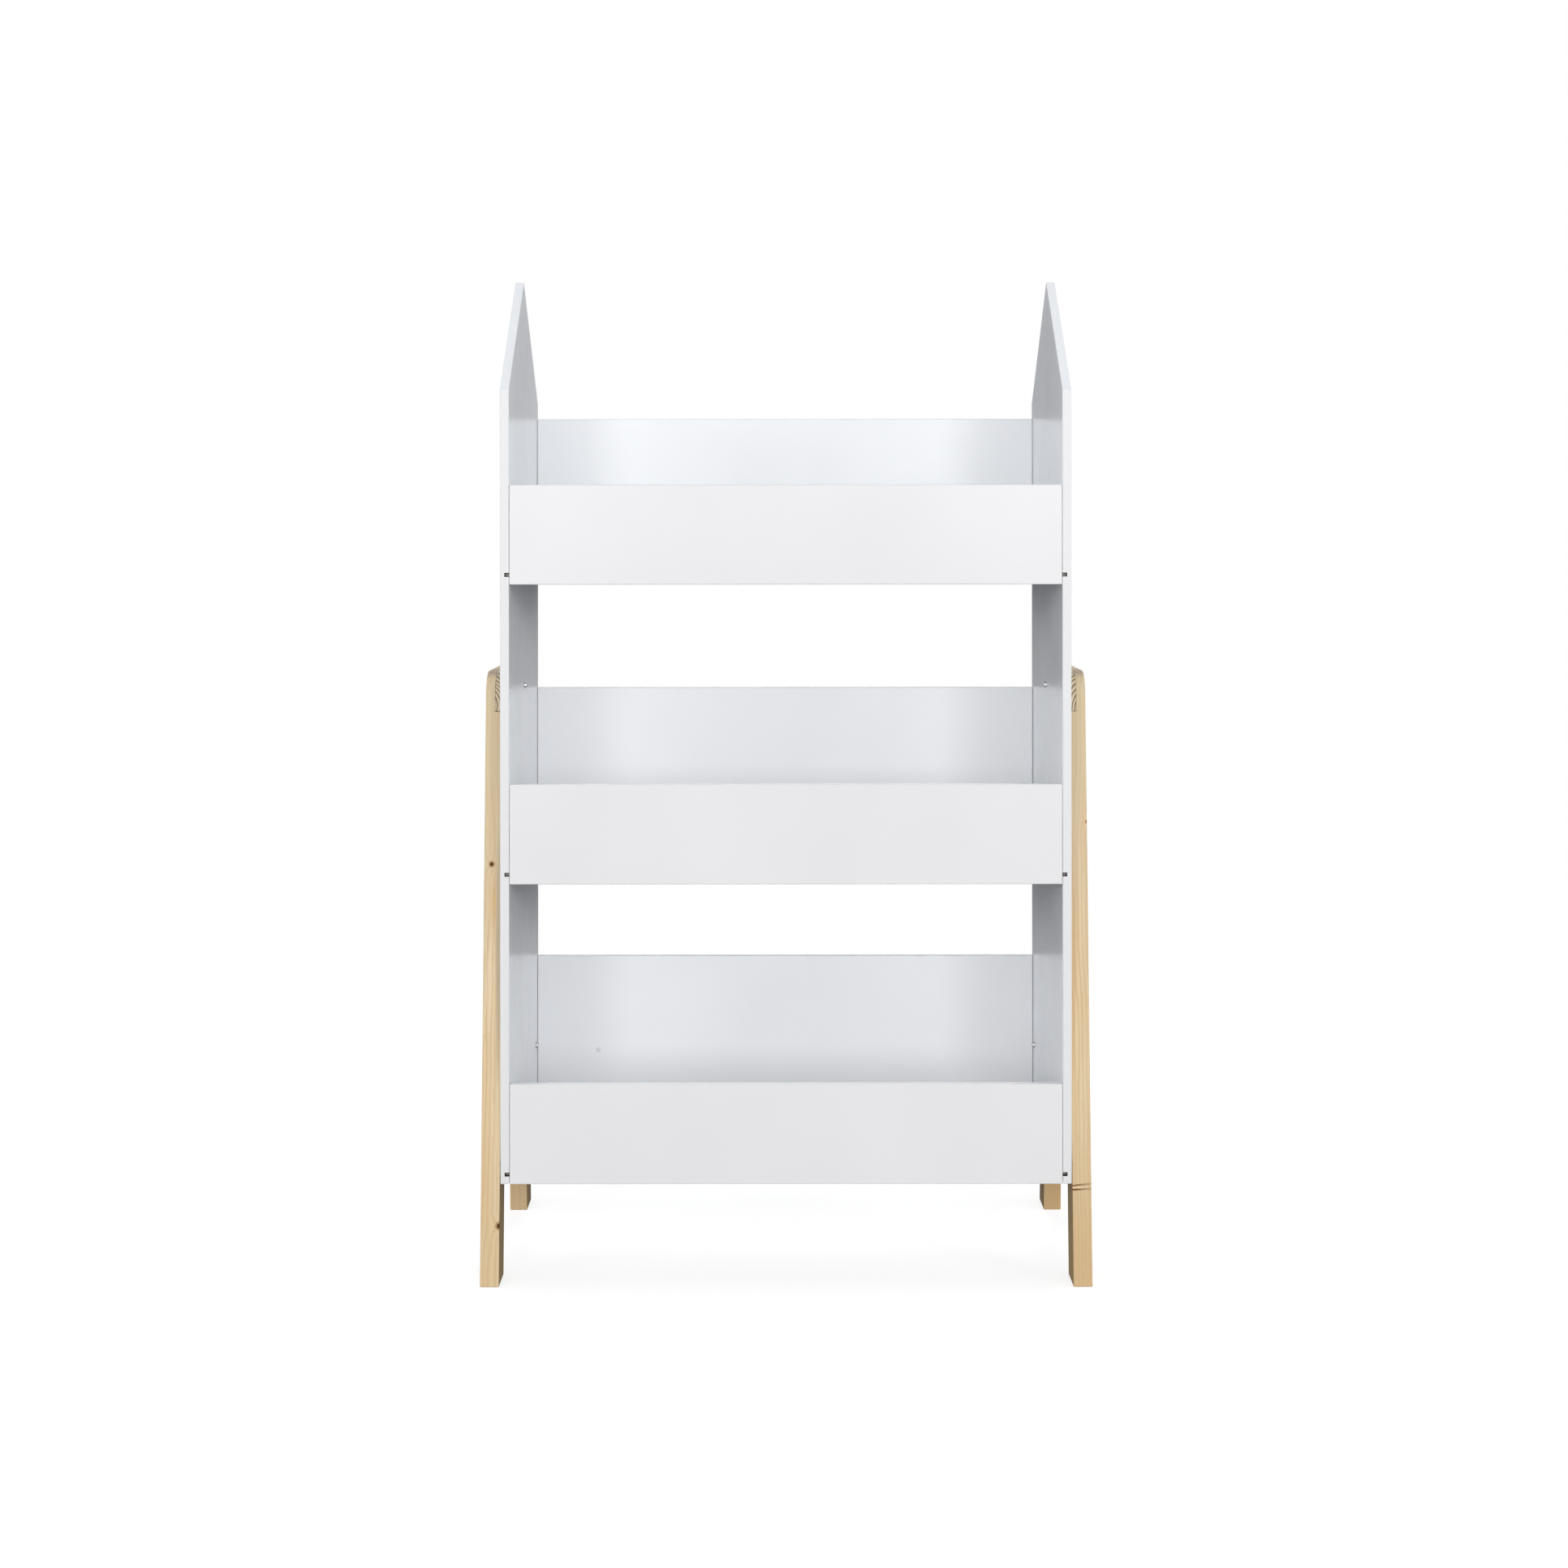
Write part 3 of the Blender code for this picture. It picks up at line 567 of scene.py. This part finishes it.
for side, outward in SIDES.items():
    pith = (outward * RAIL_PITH[0], -RAIL_PITH[1], 0.0)
    tree, surface, spots, _, colour, grain = pine(
        "top_rail_" + side, math.pi / 2, (6.0, 3.0, 2.0), pith, rings=RAIL_RINGS, top=0.0)
    leaning = calc(tree, "ADD", calc(tree, "ABSOLUTE", spots["Y"]),
                   calc(tree, "MULTIPLY", spots["Z"], math.tan(LEAN)))
    rings = blend_colours(tree, grain["Late Wood"], PINE_END, PINE_END_LATE)
    rings = tone_top(tree, spots["Z"], rings)
    colour = blend_colours(tree, ramp(tree, leaning, *RAIL_END), colour, rings)
    tree.links.new(colour, surface.inputs["Base Color"])


# Screws.
# Zinc plated wood screws: countersunk ones through the panels into the tray boards, and pan
# head ones from inside the panels into the leg frames. Each turned to its own angle.

ZINC = (0.470, 0.470, 0.485)
ZINC_DULL = (0.330, 0.330, 0.345)
ZINC_ROUGHNESS = 0.50
FRAME_ZINC = (0.660, 0.660, 0.675)
FRAME_ZINC_DULL = (0.540, 0.540, 0.550)
FRAME_ZINC_ROUGHNESS = 0.45
DULL_SCALE = (900.0, 900.0, 900.0)
DULL_SPREAD = (0.35, 0.75)
DULL_ROUGHER = 0.18
MARK_SCALE = (9000.0, 2500.0, 2500.0)
MARK_DEPTH = 0.000008
SCREW_SIDES = 32
CROSS_WIDTH = 0.0008
CROSS_DEPTH = 0.0014
TIP_LENGTH = 0.004
THREAD_SHARE = 0.7
THREAD_PITCH = 0.0016
THREAD_CREST = 0.00022
THREAD_STEPS = 16
SHARP_ANGLE = math.radians(35.0)
TRAY_SCREW = {"Head Top Radius": 0.0034, "Head Low Radius": 0.00178, "Head Height": 0.0022,
              "Shank Radius": 0.0015, "Length": 0.0318, "Recess Span": 0.0040, "Seed": 3}
FRAME_SCREW = {"Head Top Radius": 0.0026, "Head Low Radius": 0.0034, "Head Height": 0.0024,
               "Shank Radius": 0.0018, "Length": 0.0262, "Recess Span": 0.0038, "Seed": 8}


def new_tree(name, inputs):
    """A Geometry Nodes tree with named inputs."""
    tree = bpy.data.node_groups.new(name, "GeometryNodeTree")
    tree.interface.new_socket("Geometry", in_out="INPUT", socket_type="NodeSocketGeometry")
    tree.interface.new_socket("Geometry", in_out="OUTPUT", socket_type="NodeSocketGeometry")
    for label, kind, value in inputs:
        socket = tree.interface.new_socket(label, in_out="INPUT", socket_type="NodeSocket" + kind)
        if value is not None:
            socket.default_value = value
    return tree, tree.nodes.new("NodeGroupInput").outputs


def moved(tree, geometry, lift, turn=(0.0, 0.0, 0.0)):
    """Lift a shape along Z, and turn it."""
    shift = add_node(tree, "ShaderNodeCombineXYZ", {"Z": lift}).outputs[0]
    return add_node(tree, "GeometryNodeTransform", {"Geometry": geometry, "Translation": shift,
                                                    "Rotation": turn}).outputs[0]


def joined(tree, shapes):
    """Several shapes as one."""
    node = tree.nodes.new("GeometryNodeJoinGeometry")
    for shape in shapes:
        tree.links.new(shape, node.inputs[0])
    return node.outputs[0]


def place_on_points(tree, given, shape):
    """Copy a shape lying along Z to each point, along X with its top where the point says."""
    facing = add_node(tree, "GeometryNodeInputNamedAttribute", {"Name": "facing"},
                      data_type="FLOAT")
    quarter = calc(tree, "MULTIPLY", facing.outputs["Attribute"], math.pi / 2)
    turn = add_node(tree, "ShaderNodeCombineXYZ", {"Y": quarter}).outputs[0]
    copies = add_node(tree, "GeometryNodeInstanceOnPoints", {
        "Points": given["Geometry"], "Instance": shape, "Rotation": turn}).outputs[0]
    angle = add_node(tree, "FunctionNodeRandomValue", {"Seed": given["Seed"]}, data_type="FLOAT")
    angle.inputs[3].default_value = math.tau
    spin = add_node(tree, "ShaderNodeCombineXYZ", {"Z": angle.outputs[1]}).outputs[0]
    spun = add_node(tree, "GeometryNodeRotateInstances", {"Instances": copies, "Rotation": spin})
    real = add_node(tree, "GeometryNodeRealizeInstances", {0: spun.outputs[0]}).outputs[0]
    coated = add_node(tree, "GeometryNodeSetMaterial", {"Geometry": real,
                                                        "Material": given["Material"]})
    add_node(tree, "NodeGroupOutput", {0: coated.outputs[0]})


def make_screw_tree():
    """A wood screw below its head's face at Z 0: head, shank, thread, tip and cross recess."""
    tree, given = new_tree("wood_screws", [
        ("Head Top Radius", "Float", 0.0035), ("Head Low Radius", "Float", 0.0018),
        ("Head Height", "Float", 0.0022), ("Shank Radius", "Float", 0.00175),
        ("Length", "Float", 0.032), ("Recess Span", "Float", 0.004), ("Seed", "Int", 1),
        ("Material", "Material", None)])
    head = add_node(tree, "GeometryNodeMeshCone", {
        "Vertices": SCREW_SIDES, "Radius Top": given["Head Top Radius"],
        "Radius Bottom": given["Head Low Radius"], "Depth": given["Head Height"]}).outputs[0]
    head = moved(tree, head, calc(tree, "MULTIPLY", given["Head Height"], -1.0))
    for turn in (0.0, math.pi / 2):
        size = add_node(tree, "ShaderNodeCombineXYZ", {
            "X": given["Recess Span"], "Y": CROSS_WIDTH, "Z": 2 * CROSS_DEPTH}).outputs[0]
        slot = add_node(tree, "GeometryNodeMeshCube", {"Size": size}).outputs[0]
        slot = moved(tree, slot, 0.0, (0.0, 0.0, turn))
        head = add_node(tree, "GeometryNodeMeshBoolean", {0: head, 1: slot},
                        operation="DIFFERENCE", solver="EXACT").outputs[0]
    below_head = calc(tree, "SUBTRACT", given["Length"], given["Head Height"])
    straight = calc(tree, "SUBTRACT", below_head, TIP_LENGTH)
    low = calc(tree, "ADD", given["Head Height"], straight)
    middle = calc(tree, "MULTIPLY", calc(tree, "ADD", given["Head Height"], low), -0.5)
    shank = add_node(tree, "GeometryNodeMeshCylinder", {
        "Vertices": SCREW_SIDES, "Radius": given["Shank Radius"], "Depth": straight}).outputs[0]
    tip = add_node(tree, "GeometryNodeMeshCone", {
        "Vertices": SCREW_SIDES, "Radius Top": given["Shank Radius"], "Radius Bottom": 0.0,
        "Depth": TIP_LENGTH}).outputs[0]
    threaded = calc(tree, "MULTIPLY", straight, THREAD_SHARE)
    helix = add_node(tree, "GeometryNodeCurveSpiral", {
        "Resolution": THREAD_STEPS, "Rotations": calc(tree, "DIVIDE", threaded, THREAD_PITCH),
        "Start Radius": given["Shank Radius"], "End Radius": given["Shank Radius"],
        "Height": threaded})
    wire = add_node(tree, "GeometryNodeCurvePrimitiveCircle", {"Resolution": 3,
                                                               "Radius": THREAD_CREST})
    thread = add_node(tree, "GeometryNodeCurveToMesh", {
        "Curve": helix.outputs[0], "Profile Curve": wire.outputs[0], "Fill Caps": True}).outputs[0]
    down = calc(tree, "MULTIPLY", low, -1.0)
    place_on_points(tree, given, joined(tree, [
        head, moved(tree, shank, middle), moved(tree, thread, down),
        moved(tree, tip, calc(tree, "SUBTRACT", down, TIP_LENGTH))]))
    return tree


def make_steel(name, bright, dull, roughness):
    """Zinc plate: nearly even grey with dull patches and fine turning marks."""
    material, tree, surface, place = new_material(name, Metallic=1.0)
    patches = noise(tree, place, DULL_SCALE, 3.0)
    colour = blend_colours(tree, ramp(tree, patches, *DULL_SPREAD), bright, dull)
    sheen = ramp(tree, patches, *GRAIN_SPREAD, roughness, roughness + DULL_ROUGHER)
    connect_surface(tree, surface, colour, sheen, noise(tree, place, MARK_SCALE), MARK_DEPTH)
    return material


def fasten(name, tree, nodes, sizes, material, head_outside):
    """Make one piece that stands for several CAD fasteners, at their own places."""
    points = []
    facings = []
    for node in nodes:
        low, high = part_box(node)
        outward = 1.0 if low.x + high.x > 0 else -1.0
        facing = outward if head_outside else -outward
        points.append(((high.x if facing > 0 else low.x), (low.y + high.y) / 2,
                       (low.z + high.z) / 2))
        facings.append(facing)
    mesh = bpy.data.meshes.new(name)
    mesh.from_pydata(points, [], [])
    attribute = mesh.attributes.new("facing", "FLOAT", "POINT")
    attribute.data.foreach_set("value", facings)
    piece = bpy.data.objects.new(name, mesh)
    bpy.context.scene.collection.objects.link(piece)
    modifier = piece.modifiers.new(name, "NODES")
    modifier.node_group = tree
    values = {**sizes, "Material": material}
    for item in tree.interface.items_tree:
        if item.in_out == "INPUT" and item.name in values:
            modifier[item.identifier] = values[item.name]
    depsgraph = bpy.context.evaluated_depsgraph_get()
    made = bpy.data.meshes.new_from_object(piece.evaluated_get(depsgraph))
    piece.modifiers.clear()
    piece.data = made
    shells = bmesh.new()
    shells.from_mesh(made)
    bmesh.ops.recalc_face_normals(shells, faces=shells.faces)
    shells.to_mesh(made)
    shells.free()
    made.shade_smooth()
    made.set_sharp_from_angle(angle=SHARP_ANGLE)
    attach(piece, "root")
    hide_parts(*nodes)


WOOD_SCREWS = make_screw_tree()
fasten("tray_screws", WOOD_SCREWS,
       [f"tray_screw_{tray}_{side}_{end}" for tray in TRAYS for side in SIDES
        for end in ("front", "back_low", "back_high")],
       TRAY_SCREW, make_steel("zinc_plate", ZINC, ZINC_DULL, ZINC_ROUGHNESS),
       head_outside=True)
fasten("frame_screws", WOOD_SCREWS,
       [f"frame_screw_{side}_{end}" for side in SIDES for end in ("front", "back", "top")],
       FRAME_SCREW,
       make_steel("frame_zinc_plate", FRAME_ZINC, FRAME_ZINC_DULL, FRAME_ZINC_ROUGHNESS),
       head_outside=False)


# Dowels.
# Fluted beech dowels, glued in both boards. Closed inside the joints, none of them shows.

BEECH = (0.640, 0.460, 0.290)
BEECH_FLECK = (0.470, 0.300, 0.170)
BEECH_ROUGHNESS = (0.55, 0.68)
FLECK_SCALE = (60.0, 900.0, 900.0)
FLECK_SPREAD = (0.55, 0.72)
FLECK_DEPTH = 0.00005
FLUTES = 12
DOWEL = {"Radius": 0.0025, "Flute Depth": 0.0002, "Length": 0.024, "Seed": 5}


def make_dowel_tree():
    """A fluted dowel along Z, its top at Z 0."""
    tree, given = new_tree("fluted_dowels", [
        ("Radius", "Float", 0.0025), ("Flute Depth", "Float", 0.0002), ("Length", "Float", 0.024),
        ("Seed", "Int", 1), ("Material", "Material", None)])
    end = add_node(tree, "ShaderNodeCombineXYZ", {
        "Z": calc(tree, "MULTIPLY", given["Length"], -1.0)})
    line = add_node(tree, "GeometryNodeCurvePrimitiveLine", {"End": end.outputs[0]})
    star = add_node(tree, "GeometryNodeCurveStar", {
        "Points": FLUTES, "Outer Radius": given["Radius"],
        "Inner Radius": calc(tree, "SUBTRACT", given["Radius"], given["Flute Depth"])})
    rod = add_node(tree, "GeometryNodeCurveToMesh", {
        "Curve": line.outputs[0], "Profile Curve": star.outputs[0], "Fill Caps": True}).outputs[0]
    place_on_points(tree, given, rod)
    return tree


material, tree, surface, place = new_material("beech")
fleck = noise(tree, place, FLECK_SCALE)
colour = blend_colours(tree, ramp(tree, fleck, *FLECK_SPREAD), BEECH, BEECH_FLECK)
connect_surface(tree, surface, colour, ramp(tree, fleck, *GRAIN_SPREAD, *BEECH_ROUGHNESS), fleck,
                FLECK_DEPTH)
fasten("dowels", make_dowel_tree(),
       [f"dowel_{tray}_{side}_{end}" for tray in TRAYS for side in SIDES
        for end in ("front", "back")],
       DOWEL, material, head_outside=True)


# Studio.
# A pale floor that runs out to white, in an even pale room: soft lights in front, weaker ones at
# both sides, and one behind. The floor keeps the bookcase's shadow.

WHITE = (1.0, 1.0, 1.0, 1.0)
ROOM_LIGHT = (0.92, 0.96, 1.0, 1.0)
ROOM_STRENGTH = 0.30
FLOOR_HALF = 6.0
FLOOR_GREY = 0.20
FLOOR_SHADED = 0.45
FLOOR_GLOW = 0.745
FLOOR_FADE = (0.9, 2.0)
LIT_POINT = (0.0, 0.0, 0.55)

# Soft lights as name, place, width and height, and power in watts. No view shows them.
SOFT_LIGHTS = (
    ("front_light", (0.0, -6.5, 2.3), (3.0, 1.2), 107.0),
    ("left_light", (-2.05, -6.2, 1.5), (1.1, 1.6), 80.0),
    ("right_light", (2.05, -6.2, 1.5), (1.1, 1.6), 80.0),
    ("far_left_light", (-5.0, -4.0, 1.6), (2.0, 2.0), 60.0),
    ("far_right_light", (5.0, -4.0, 1.6), (2.0, 2.0), 86.0),
    ("side_left_light", (-6.0, 0.0, 0.8), (1.6, 1.2), 75.0),
    ("side_right_light", (6.0, 0.0, 0.8), (1.6, 1.2), 75.0),
    ("back_light", (0.0, 6.0, 3.2), (3.0, 1.2), 160.0))


def shows_background(tree):
    """Mask of camera, glossy and transmission rays, which see the white background."""
    rays = tree.nodes.new("ShaderNodeLightPath").outputs
    seen = calc(tree, "MAXIMUM", rays["Is Camera Ray"], rays["Is Glossy Ray"])
    return calc(tree, "MAXIMUM", seen, rays["Is Transmission Ray"])


def mix_shaders(tree, factor, first, second):
    """Change from the first shader to the second."""
    return add_node(tree, "ShaderNodeMixShader", {0: factor, 1: first, 2: second}).outputs[0]


def white_light(tree, strength):
    """Plain white light."""
    return add_node(tree, "ShaderNodeEmission", {"Color": WHITE, "Strength": strength}).outputs[0]


def matt_grey(tree, level):
    """Plain matt grey."""
    return add_node(tree, "ShaderNodeBsdfDiffuse", {"Color": (level, level, level, 1.0)}).outputs[0]


def add_sheet(name, corners):
    """A flat sheet of the studio, with an empty tree for its material."""
    mesh = bpy.data.meshes.new(name)
    mesh.from_pydata(corners, [], [(0, 1, 2, 3)])
    sheet = bpy.data.objects.new(name, mesh)
    bpy.context.scene.collection.objects.link(sheet)
    material = bpy.data.materials.new(name)
    material.use_nodes = True
    material.node_tree.nodes.clear()
    mesh.materials.append(material)
    return sheet, material.node_tree


world = bpy.data.worlds.new("pale_room")
bpy.context.scene.world = world
world.use_nodes = True
tree = world.node_tree
tree.nodes.clear()
room = add_node(tree, "ShaderNodeBackground", {"Color": ROOM_LIGHT, "Strength": ROOM_STRENGTH})
white = add_node(tree, "ShaderNodeBackground", {"Color": WHITE, "Strength": 1.0})
mixed = mix_shaders(tree, shows_background(tree), room.outputs[0], white.outputs[0])
add_node(tree, "ShaderNodeOutputWorld", {0: mixed})

_, tree = add_sheet("studio_floor", [
    (-FLOOR_HALF, -FLOOR_HALF, 0.0), (FLOOR_HALF, -FLOOR_HALF, 0.0),
    (FLOOR_HALF, FLOOR_HALF, 0.0), (-FLOOR_HALF, FLOOR_HALF, 0.0)])
reach = vector_calc(tree, "LENGTH", tree.nodes.new("ShaderNodeTexCoord").outputs["Object"])
near = add_node(tree, "ShaderNodeAddShader", {0: matt_grey(tree, FLOOR_SHADED),
                                              1: white_light(tree, FLOOR_GLOW)}).outputs[0]
pale = mix_shaders(tree, ramp(tree, reach, *FLOOR_FADE), near, white_light(tree, 1.0))
floor = mix_shaders(tree, shows_background(tree), matt_grey(tree, FLOOR_GREY), pale)
add_node(tree, "ShaderNodeOutputMaterial", {0: floor})

for name, place, size, power in SOFT_LIGHTS:
    data = bpy.data.lights.new(name, "AREA")
    data.shape = "RECTANGLE"
    data.size, data.size_y = size
    data.energy = power
    lamp = bpy.data.objects.new(name, data)
    lamp.location = place
    aim = Vector(LIT_POINT) - Vector(place)
    lamp.rotation_euler = aim.to_track_quat("-Z", "Y").to_euler()
    lamp.visible_camera = False
    bpy.context.scene.collection.objects.link(lamp)

# A grey card glows behind, and only reflections see it: a painted reflection of the grey wall that
# the panels mirror above the back boards, where they are seen at a shallow angle, with the trays'
# shadows painted on it.
CARD_PLACE = 0.60
CARD_HALF = 1.6
CARD_HEIGHT = 2.2
CARD_STEP = (0.70, 0.90)
CARD_LEVELS = (0.12, 0.26)
CARD_MIDDLE = (-0.18, 0.18)
CARD_SIDE_SHARES = (1.45, 0.90)
CARD_SHADOWS = (0.68, 0.28)
SHADOW_REACH = 0.075

card, tree = add_sheet("grey_card", [
    (-CARD_HALF, CARD_PLACE, 0.0), (CARD_HALF, CARD_PLACE, 0.0),
    (CARD_HALF, CARD_PLACE, CARD_HEIGHT), (-CARD_HALF, CARD_PLACE, CARD_HEIGHT)])
spots = split(tree, tree.nodes.new("ShaderNodeTexCoord").outputs["Object"])
level = calc(tree, "MULTIPLY", ramp(tree, spots["Z"], *CARD_STEP, *CARD_LEVELS),
             ramp(tree, spots["X"], *CARD_MIDDLE, *CARD_SIDE_SHARES))
for shadow in CARD_SHADOWS:
    apart = calc(tree, "ABSOLUTE", calc(tree, "SUBTRACT", spots["Z"], shadow))
    level = calc(tree, "MULTIPLY", level, ramp(tree, apart, 0.0, SHADOW_REACH))
add_node(tree, "ShaderNodeOutputMaterial", {0: white_light(tree, level)})
card.visible_camera = False
card.visible_diffuse = False
card.visible_shadow = False
card.visible_transmission = False


# Camera.
# The photograph's own view: level, straight from the front, slightly left of the middle.

IMAGE_SIZE = 1932.0
FOCAL_PIXELS = 2838.6
VANISHING_PIXEL = (959.4, 647.2)
CAMERA_PLACE = (-0.0070, -2.445, 0.7593)
CAMERA_ROLL = 0.00073
SENSOR = 36.0

data = bpy.data.cameras.new("photo_camera")
data.sensor_fit = "HORIZONTAL"
data.sensor_width = SENSOR
data.lens = FOCAL_PIXELS / IMAGE_SIZE * SENSOR
data.shift_x = (IMAGE_SIZE / 2 - VANISHING_PIXEL[0]) / IMAGE_SIZE
data.shift_y = (VANISHING_PIXEL[1] - IMAGE_SIZE / 2) / IMAGE_SIZE
camera = bpy.data.objects.new("photo_camera", data)
camera.location = CAMERA_PLACE
camera.rotation_euler = (math.pi / 2, CAMERA_ROLL, 0.0)
bpy.context.scene.collection.objects.link(camera)
bpy.context.scene.camera = camera
bpy.context.scene.view_settings.view_transform = "Standard"
